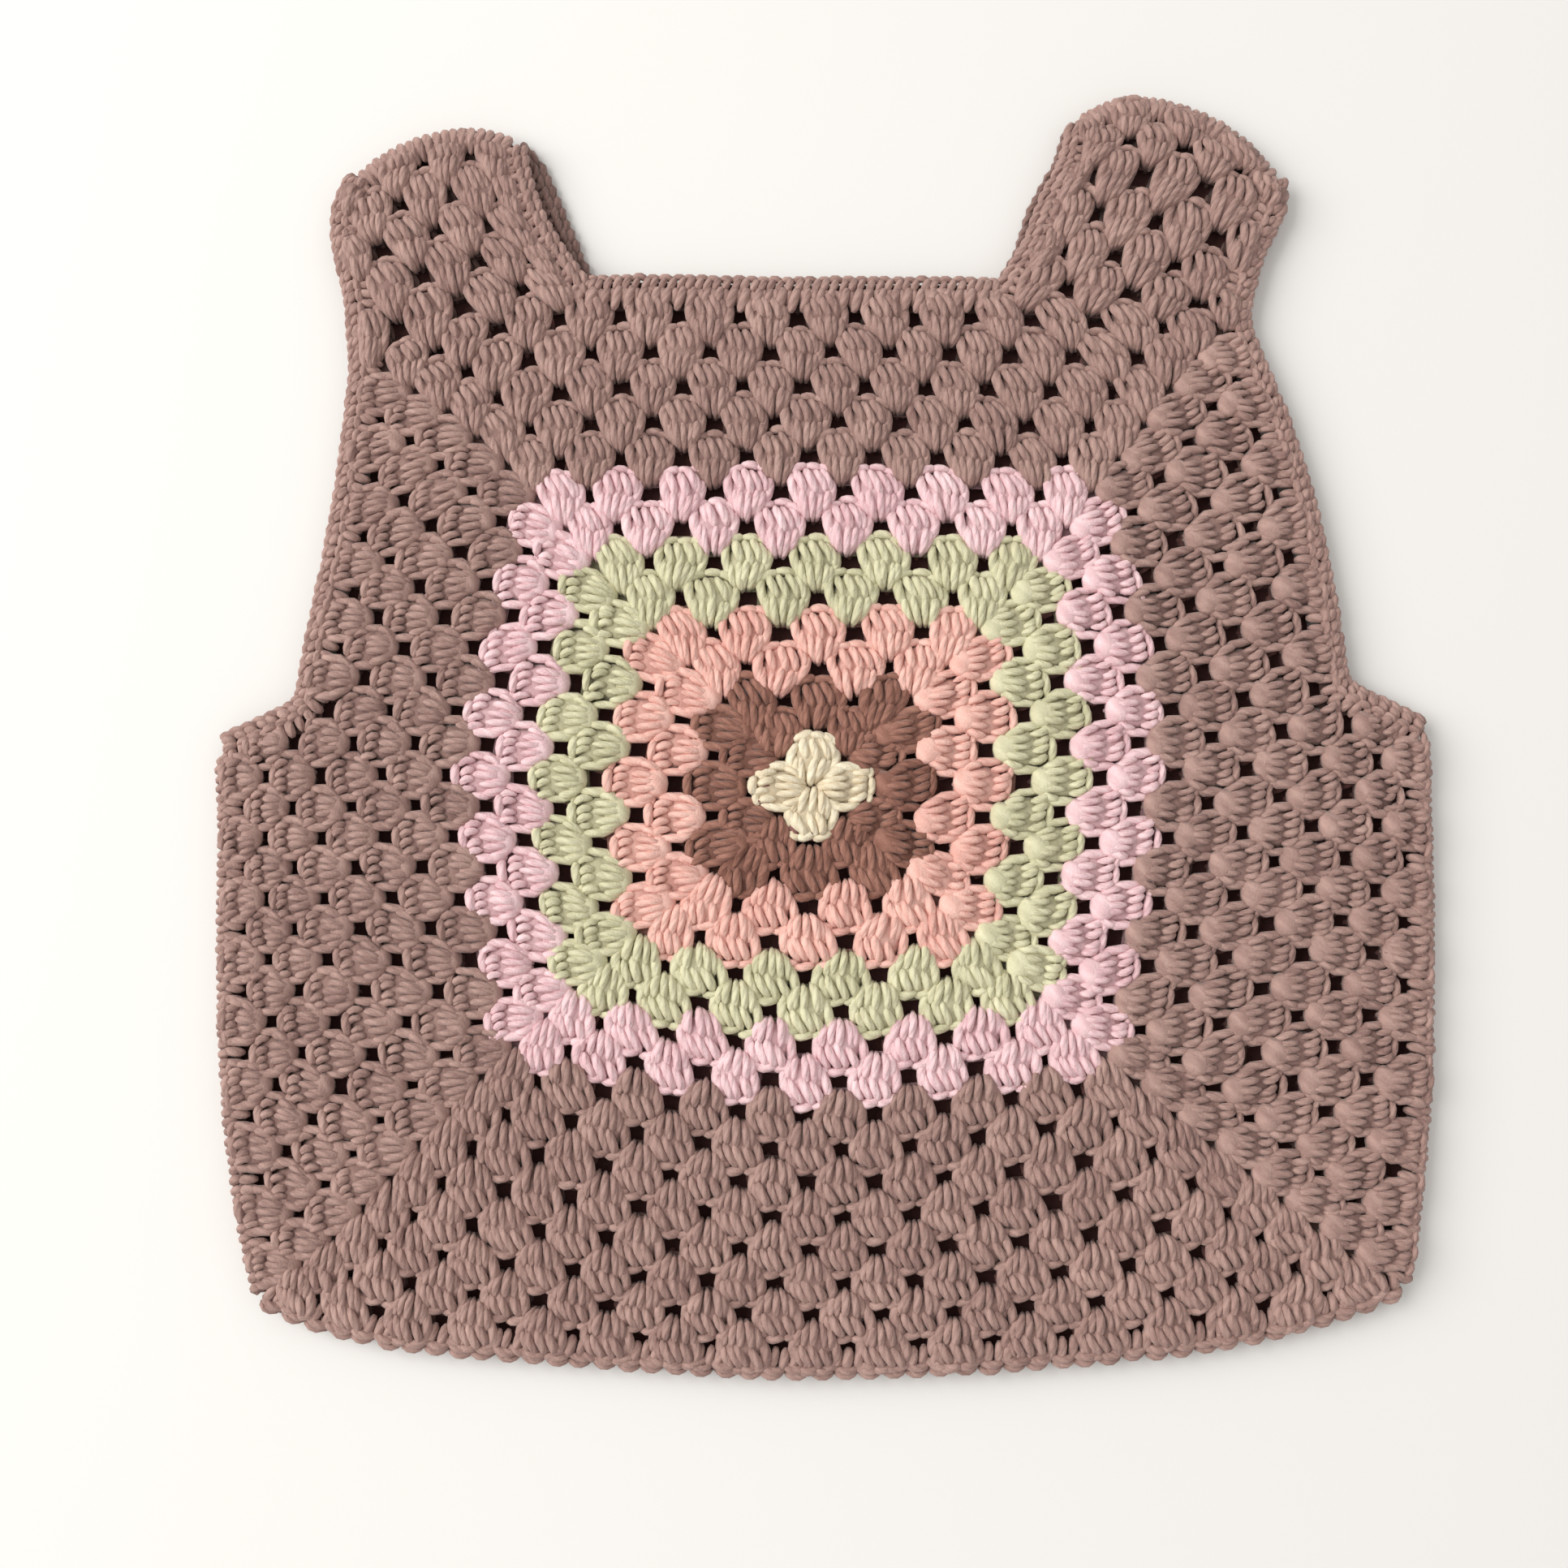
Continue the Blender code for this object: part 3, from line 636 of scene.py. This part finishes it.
def strapClusters(strap):
    made = []
    for n in range(chart["yokeEdge"] + 1, int(strap["rows"][-1][0]) + 1):
        for p in range(9 - n % 2, 15, 2):
            ends = (-min(p - 6.95, 1), min(14.2 - p, 1))
            low, high = ends if strap["side"] > 0 else (-ends[1], -ends[0])
            made.append((0, strap["side"] * p, n, low, high))
        if n % 2 == 0:
            made.append((0, strap["side"] * 7.6, n, -0.55, 0.45))
    return made


def finishPiece(piece, node):
    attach(piece, "root")
    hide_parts(node)
    return piece


materials = {name: yarnMaterial(name) for name in yarns}
onWeb = {}          # the pieces that lie on each web


def addStitches(name, groups, yarn, node, web):
    # one mesh of yarn strands that stands for a solid and lies on a web
    piece = finishPiece(strandMesh(name, groups, materials[yarn]), node)
    onWeb.setdefault(web, []).append(piece)


# The yarn stretches of the square: name, yarn, rounds, solid, and the web's outer edge
frontRounds = (
    ("flower", "cream", (1,), "front_flower_centre", 1.3),
    ("cocoa_rounds", "cocoa", (2, 3), "front_cocoa_rounds", 3.3),
    ("coral_rounds", "coral", (4, 5), "front_coral_rounds", 5.3),
    ("sage_rounds", "sage", (6, 7), "front_sage_rounds", 7.3),
    ("pink_rounds", "pink", (8, 9), "front_pink_rounds", 9.3),
)
for name, yarn, rounds, node, _ in frontRounds:
    wanted = [one for n in rounds for one in roundClusters(n)]
    addStitches(name + "_stitches", addClusters(wanted, laid, rounds[0]), yarn, node, name)
mauve = [one for n in range(10, chart["bodyEdge"] + 1) for one in roundClusters(n)]
for side, name in enumerate(("top", "right", "bottom", "left")):
    wanted = [one for one in mauve if one[0] == side]
    addStitches("mauve_rounds_" + name, addClusters(wanted, laid, 20 + side), "mauve",
                "front_mauve_rounds", "mauve_rounds")
for name, strap in straps.items():
    wanted = strapClusters(strap)
    groups = addClusters(wanted, strapLaid(strap), 40 + strap["side"])
    addStitches("strap_stitches_" + name, groups, "mauve", "front_strap_" + name,
                "strap_" + name)
    groups = addClusters(wanted, strapLaid(strap, 1.0), 50 + strap["side"], backCluster, plain)
    addStitches("back_strap_stitches_" + name, groups, "mauveShadedBack", "back_strap_" + name,
                "back_strap_" + name)
wanted = [one for n in range(1, chart["bodyEdge"] + 1) for one in roundClusters(n)]
addStitches("back_stitches", addClusters(wanted, laid, 60, backCluster, plain), "mauveShadedInside",
            "back_panel", "back_panel")
print("clusters done")


rounder = dict(fine, sides=8)


# Edgings and seams: worked along a line, in mm along it, mm out from it, and mm up
def smoothLine(points, step=1.0, ease=6):
    # points of a line at an even step, its corners eased, with the way out to its right
    points = np.asarray(points, float)
    lengths = np.concatenate([[0], np.cumsum(np.linalg.norm(np.diff(points, axis=0), axis=1))])
    count = int(lengths[-1] / step) + 1
    at = np.linspace(0, lengths[-1], count)
    line = np.stack([np.interp(at, lengths, points[:, k]) for k in range(2)], 1)
    for _ in range(ease):
        line[1:-1] = line[1:-1] * 0.5 + (line[:-2] + line[2:]) * 0.25
    lengths = np.concatenate([[0], np.cumsum(np.linalg.norm(np.diff(line, axis=0), axis=1))])
    ahead = np.gradient(line, axis=0)
    ahead /= np.linalg.norm(ahead, axis=1, keepdims=True)
    out = np.stack([ahead[:, 1], -ahead[:, 0]], 1)
    for _ in range(ease - 2):
        out[1:-1] = out[1:-1] * 0.5 + (out[:-2] + out[2:]) * 0.25
    return dict(line=line, out=out, at=lengths, length=lengths[-1])


def onLine(line, places):
    # places (..., (along, out, up)) to points
    along, out, up = places[..., 0], places[..., 1], places[..., 2]
    base = [np.interp(along, line["at"], line["line"][:, k]) for k in range(2)]
    away = [np.interp(along, line["at"], line["out"][:, k]) for k in range(2)]
    return np.stack([base[0] + away[0] * out, base[1] + away[1] * out, up], -1)


def lineStrands(line, strand, seed, sweep=rounder, lift=0.0, start=0.0, stop=None):
    # one strand of four places, a half width and a pitch, repeated along the line
    local = np.random.default_rng(seed)
    pitch = strand[5]
    run = (line["length"] if stop is None else stop) - start
    count = max(int(run / pitch), 1)
    at = start + (np.arange(count) + 0.5) * run / count
    knots = np.array(strand[:4], float)
    places = np.repeat(knots[None], count, axis=0)
    places[..., 0] += at[:, None] + local.normal(0, 0.06 * pitch, (count, 1))
    places[..., 1] += local.normal(0, 0.12, (count, 1))
    places[..., 2] += lift + local.normal(0, 0.1, (count, 1))
    radii = strand[4] * (1 + local.normal(0, 0.06, (count, 1))) * np.array(sweep["width"])
    tones = np.clip(0.5 + local.normal(0, 0.13, count), 0, 1)
    paths = smoothPaths(onLine(line, places), sweep["stations"])
    return strandGroup(paths, radii, tones, np.tile(sweep["depth"], (count, 1)), sweep["sides"])


def strapEdges(strap, backLayer=0.0):
    side, count = strap["side"], len(strap["rows"])
    inner, outer = [laid([(side * chart[edge], chart["yokeEdge"])])[0] for edge in ("neckHalf", "armhole")]
    inner, outer = [tuple(inner)], [tuple(outer)]
    for i, (_, (innerX, innerY), (outerX, outerY)) in enumerate(strap["rows"], start=1):
        inner.append((innerX + backLayer * strap["backShift"] * math.sin(math.pi * i / count), innerY))
        outer.append((outerX, outerY))
    return inner, outer


def neckLine(backLayer=0.0):
    left, right = [strapEdges(straps[name], backLayer)[0] for name in ("left", "right")]
    half, top = chart["neckHalf"], chart["yokeEdge"]
    yoke = [tuple(laid([(half * (i / 5 - 1), top)])[0]) for i in range(1, 10)]
    return smoothLine((left[::-1] + yoke + right)[::-1])


def armholeLine(name):
    strap = straps[name]
    side = strap["side"]
    inner, upright, yoke = chart["underarmInner"], chart["armhole"], chart["yokeEdge"]
    edge = [(chart["bodyEdge"], chart["underarmOuter"])]
    edge += [(upright, inner + (yoke - inner) * i / 6) for i in range(6)]
    line = [tuple(laid([(side * column, row)])[0]) for column, row in edge] + strapEdges(strap)[1]
    return smoothLine(line if side > 0 else line[::-1], ease=45)


def sideLine(side):
    rows = [chart["underarmOuter"] - 0.1 - (chart["underarmOuter"] + 16.8) * i / 9 for i in range(10)]
    line = [tuple(laid([(side * chart["bodyEdge"], row)])[0]) for row in rows]
    return smoothLine(line[::-1] if side > 0 else line)


def shoulderLine(strap):
    (innerX, innerY), (outerX, outerY) = [edge[-1] for edge in strapEdges(strap)]
    line = []
    for i in range(21):
        t = i / 20
        line.append((innerX + (outerX - innerX) * t,
                     innerY + (outerY - innerY) * t + strap["bow"] * (1 - abs(2 * t - 1) ** 2.5)))
    return smoothLine(line[::-1] if strap["side"] > 0 else line)


# Strands of the edgings, in mm: four places (along, out, up), the half width, and how far apart they repeat
backDown = -4.6        # from the front layer's strands down to the back layer's
reach = ((-0.6, 1.6, 5.6), (-0.3, 0.2, 6.9), (0.2, -2.2, 7.2), (0.6, -4.8, 5.8), 1.55, 3.3)
neckEdging = dict(
    yoke=dict(
        slants=((-1.2, 4.2, 6.4), (-0.6, 2.0, 8.0), (0.4, -1.6, 8.4), (1.4, -4.6, 7.6), 1.55, 4.2),
        between=((1.6, 3.6, 6.2), (1.4, 2.0, 7.4), (1.2, 0.2, 7.6), (1.9, -2.2, 6.6), 1.45, 4.2),
        short=((-0.7, 7.2, 5.8), (-0.6, 6.0, 7.3), (0.2, 4.2, 7.6), (0.7, 2.7, 6.6), 1.35, 3.0),
        top=((-2.4, 6.6, 5.6), (-0.9, 7.4, 6.5), (0.9, 7.5, 6.5), (2.4, 6.7, 5.6), 1.25, 4.0),
    ),
    strap=dict(
        bars=((-0.6, -2.6, 5.8), (-0.3, -0.6, 7.2), (0.2, 1.4, 7.4), (0.5, 3.4, 6.2), 1.45, 3.4),
        inner=((-3.6, 2.9, 6.4), (-1.2, 2.2, 7.6), (1.3, 2.9, 7.6), (3.6, 3.6, 6.4), 1.4, 4.2),
        outer=((-3.4, 4.1, 5.8), (-1.1, 4.7, 6.9), (1.2, 5.5, 6.7), (3.5, 5.2, 5.6), 1.35, 4.2),
    ),
)
front, behind = neckLine(), neckLine(1.0)
strapLengths = [sum(math.dist(a, b) for a, b in zip(edge, edge[1:])) for edge in
                (strapEdges(straps[name])[0] for name in ("right", "left"))]
yokeStart, yokeStop = strapLengths[0] + 1, front["length"] - strapLengths[1] - 1
groups, backGroups = [], []
for i, strand in enumerate(neckEdging["yoke"].values()):
    groups.append(lineStrands(front, strand, 100 + i, start=yokeStart, stop=yokeStop))
for i, strand in enumerate(neckEdging["strap"].values()):
    groups.append(lineStrands(front, strand, 105 + i, stop=yokeStart))
    groups.append(lineStrands(front, strand, 108 + i, start=yokeStop))
    backGroups.append(lineStrands(behind, strand, 111 + i, plain, lift=backDown))
addStitches("neck_edging_stitches", groups, "mauve", "neck_edging", "mauve_rounds")
addStitches("neck_edging_back", backGroups, "mauveShadedBack", "neck_edging", "back_panel")

armholeEdging = dict(
    chain=((-2.7, 0.6, 6.2), (-1.0, 1.2, 7.7), (1.0, 1.1, 7.7), (2.7, 0.4, 6.2), 1.35, 4.4),
    bumps=((-1.6, 1.9, 6.0), (-0.7, 2.8, 7.4), (0.6, 3.5, 7.3), (1.5, 4.6, 6.0), 1.5, 4.0),
    outer=((-3.0, 4.3, 5.6), (-1.0, 4.8, 6.7), (1.1, 5.6, 6.4), (3.1, 5.5, 5.0), 1.4, 4.0),
)
seam = dict(
    side=((-1.0, -1.2, 7.2), (-0.2, 2.4, 6.6), (0.4, 2.5, 1.9), (1.2, -1.2, 0.9), 1.6, 3.0),
    shoulder=((-0.8, -6.5, 7.4), (-0.2, 1.6, 7.6), (0.3, 2.0, 1.6), (0.9, -2.5, 0.9), 1.7, 2.8),
    outer=((-1.9, 1.6, 5.6), (-0.7, 2.4, 5.2), (0.8, 2.4, 4.8), (2.0, 1.6, 4.4), 1.5, 4.2),
)
for side, name in ((-1, "left"), (1, "right")):
    line = armholeLine(name)
    groups, backGroups = [lineStrands(line, reach, 118 + side)], []
    for i, strand in enumerate(armholeEdging.values()):
        groups.append(lineStrands(line, strand, 120 + i + side))
        backGroups.append(lineStrands(line, strand, 130 + i + side, plain, lift=backDown))
    node = "armhole_edging_" + name
    addStitches("armhole_edging_stitches_" + name, groups, "mauve", node, "mauve_rounds")
    addStitches("armhole_edging_back_" + name, backGroups, "mauveShadedBack", node, "back_panel")
    for part, line in (("side", sideLine(side)), ("shoulder", shoulderLine(straps[name]))):
        groups = [lineStrands(line, reach, 138 + side),
                  lineStrands(line, seam[part], 140 + side),
                  lineStrands(line, seam["outer"], 144 + side)]
        addStitches(part + "_seam_stitches_" + name, groups, "mauve", part + "_seam_" + name,
                    "mauve_rounds")

hemEdging = dict(
    upper=((-4.2, 0.2, 5.9), (-1.6, 1.7, 7.3), (1.4, 2.1, 7.3), (4.3, 0.8, 5.9), 1.4, 7.4),
    lower=((-3.6, 2.0, 5.3), (-1.4, 3.6, 6.3), (1.2, 3.8, 6.3), (3.9, 2.4, 5.3), 1.3, 7.4),
)
hemHalf = chart["bodyEdge"]
hemLine = smoothLine([tuple(laid([(hemHalf * (i / 8 - 1), -hemHalf)])[0]) for i in range(17)])
groups, backGroups = [lineStrands(hemLine, reach, 149)], []
for i, strand in enumerate(hemEdging.values()):
    groups.append(lineStrands(hemLine, strand, 150 + i))
    backGroups.append(lineStrands(hemLine, strand, 160 + i, plain, lift=backDown))
addStitches("hem_edging_stitches", groups, "mauve", "hem_edging", "mauve_rounds")
addStitches("hem_edging_back", backGroups, "mauveShadedBack", "hem_edging", "back_panel")
print("edgings and seams done")


# The cloth under the stitches: a thin web with the chart's holes in it
def webMesh(name, cells, mapping, z, material):
    # cells: (low column, high column, low row, high row) quads of the chart
    builder = bmesh.new()
    made = {}

    def corner(place):
        key = (round(place[0], 3), round(place[1], 3))
        if key not in made:
            x, y = mapping([place])[0]
            made[key] = builder.verts.new(((x + toFrame[0]) * mm, (y + toFrame[1]) * mm, z * mm))
        return made[key]

    for a, b, c, d in cells:
        builder.faces.new([corner(place) for place in ((a, c), (b, c), (b, d), (a, d))])
    bmesh.ops.recalc_face_normals(builder, faces=builder.faces)
    mesh = bpy.data.meshes.new(name)
    builder.to_mesh(mesh)
    builder.free()
    mesh.materials.append(material)
    piece = bpy.data.objects.new(name, mesh)
    bpy.context.collection.objects.link(piece)
    return piece


def chartLines(low, high):
    # the web's grid lines: the holes lie between n - 0.7 and n - 0.3, and 0.3 either side of a whole column
    lines = [k + part for k in range(math.floor(low) - 1, math.ceil(high) + 2) for part in (0.3, 0.7)]
    return [low] + [line for line in lines if low + 0.05 < line < high - 0.05] + [high]


def isHole(column, row):
    # a chart place, the middle of a grid cell
    onTop = row > chart["yokeEdge"]
    if onTop and abs(column) < chart["neckHalf"] - 0.3:
        return False
    out, along = (abs(row), column) if onTop or abs(row) > abs(column) else (abs(column), row)
    n = math.ceil(out)
    if n < 2 or not n - 0.7 < out < n - 0.3:
        return False
    k = round(along)
    return abs(along - k) < 0.3 and (k - n) % 2 == 0 and abs(k) <= n - 2


def inBody(column, row):
    if row > chart["yokeEdge"]:
        return abs(column) < chart["neckHalf"]
    return abs(column) < chart["armhole"] or row < underarm(column) + 0.3


def layWeb(name, node, material, lines, z, inside=inBody, mapping=laid, holes=True):
    columns, rows = lines
    cells = [(a, b, c, d) for a, b in zip(columns, columns[1:]) for c, d in zip(rows, rows[1:])
             if inside((a + b) / 2, (c + d) / 2)]
    kept = [(a, b, c, d) for a, b, c, d in cells if not (holes and isHole((a + b) / 2, (c + d) / 2))]
    web = finishPiece(webMesh(name + "_web", kept, mapping, z, material), node)
    corners = np.array([vertex.co for vertex in web.data.vertices])
    size = corners.max(0) - corners.min(0)
    share = [sum(abs((b - a) * (d - c)) for a, b, c, d in some) for some in (cells, kept)]
    area = sum(face.area for face in web.data.polygons) * share[0] / share[1]
    print(web.name, "flat", np.round(size[:2] / mm), "mm, cut area", round(area * 1e4), "cm2")
    return web


# Heights in mm, how dark the web is painted beside its yarn's shaded colour, as painted shade between the
# stitches, and how far it runs on under the neck edging, in rows
webLayers = dict(front=5.3, back=1.7, shade=0.74, neckRows=0.5)
webYarns = {name: webMaterial(name, [c * webLayers["shade"] for c in colour["shade"]])
            for name, colour in yarns.items()}
body, yoke = chart["bodyEdge"], chart["yokeEdge"]
wholeBody = (chartLines(-body, body), chartLines(-body, yoke))
# the back web is whole, without holes: a sheet in the painted shade colour under the front's holes
backWeb = layWeb("back_panel", "back_panel", webYarns["mauveShadedInside"], wholeBody,
                 webLayers["back"], holes=False)
innerEdge = 0.0
for name, yarn, _, node, outer in frontRounds + (("mauve_rounds", "mauve", (), "front_mauve_rounds", body),):
    lines = (chartLines(-outer, outer),) * 2
    if outer == body:
        lines = (wholeBody[0], wholeBody[1] + [yoke + webLayers["neckRows"]])
    ground = webYarns["cocoa" if name == "flower" else yarn]
    layWeb(name, node, ground, lines, webLayers["front"],
           lambda x, y: max(abs(x), abs(y)) > innerEdge and inBody(x, y))
    innerEdge = outer
for name, strap in straps.items():
    columns = sorted(strap["side"] * line for line in chartLines(chart["neckHalf"], chart["armhole"]))
    lines = (columns, chartLines(yoke, strap["rows"][-1][0]))
    layWeb("back_strap_" + name, "back_strap_" + name, webYarns["mauveShadedInside"], lines,
           webLayers["back"], lambda x, y: True, strapLaid(strap, 1.0), holes=False)
    layWeb("strap_" + name, "front_strap_" + name, webYarns["mauve"], lines,
           webLayers["front"], lambda x, y: True, strapLaid(strap))
print("webs done")


# Floor and light
room = dict(floor=(0.885, 0.872, 0.85), world=0.62, lamp=70, lampPlace=(-2.1, 0.45, 1.75), lampSize=2.2)


def addRoom():
    bpy.ops.mesh.primitive_plane_add(size=6, location=(0, 0, -0.0002))
    floor = bpy.context.object
    floor.name = "floor"
    shader = Shader("floor_paper", Roughness=0.9, Specular_IOR_Level=0.15)
    grain = shader.node("TexNoise", inputs={"Vector": shader.node("TexCoord", output=3), "Scale": 3.0})
    light = tuple(room["floor"]) + (1.0,)
    dim = tuple(c * 0.985 for c in room["floor"]) + (1.0,)
    shader.feed("Base Color", shader.mix(grain, light, dim))
    floor.data.materials.append(shader.material)
    world = bpy.data.worlds.new("studio")
    world.use_nodes = True
    ground = world.node_tree.nodes["Background"]
    ground.inputs["Color"].default_value = (1.0, 0.985, 0.965, 1)
    ground.inputs["Strength"].default_value = room["world"]
    bpy.context.scene.world = world
    data = bpy.data.lights.new("window", "AREA")
    data.energy = room["lamp"]
    data.shape = "SQUARE"
    data.size = room["lampSize"]
    data.color = (1.0, 0.985, 0.96)
    lamp = bpy.data.objects.new("window", data)
    lamp.location = room["lampPlace"]
    lamp.rotation_euler = (-Vector(room["lampPlace"])).to_track_quat("-Z", "Y").to_euler()
    bpy.context.collection.objects.link(lamp)


addCamera()
addRoom()
print("camera and light done")
bpy.context.scene.view_settings.view_transform = "Standard"
bpy.context.view_layer.update()
shownMeshes = [one.data for one in bpy.data.objects if one.type == "MESH" and not one.hide_render]
print("triangles", sum(len(face.vertices) - 2 for mesh in shownMeshes for face in mesh.polygons))
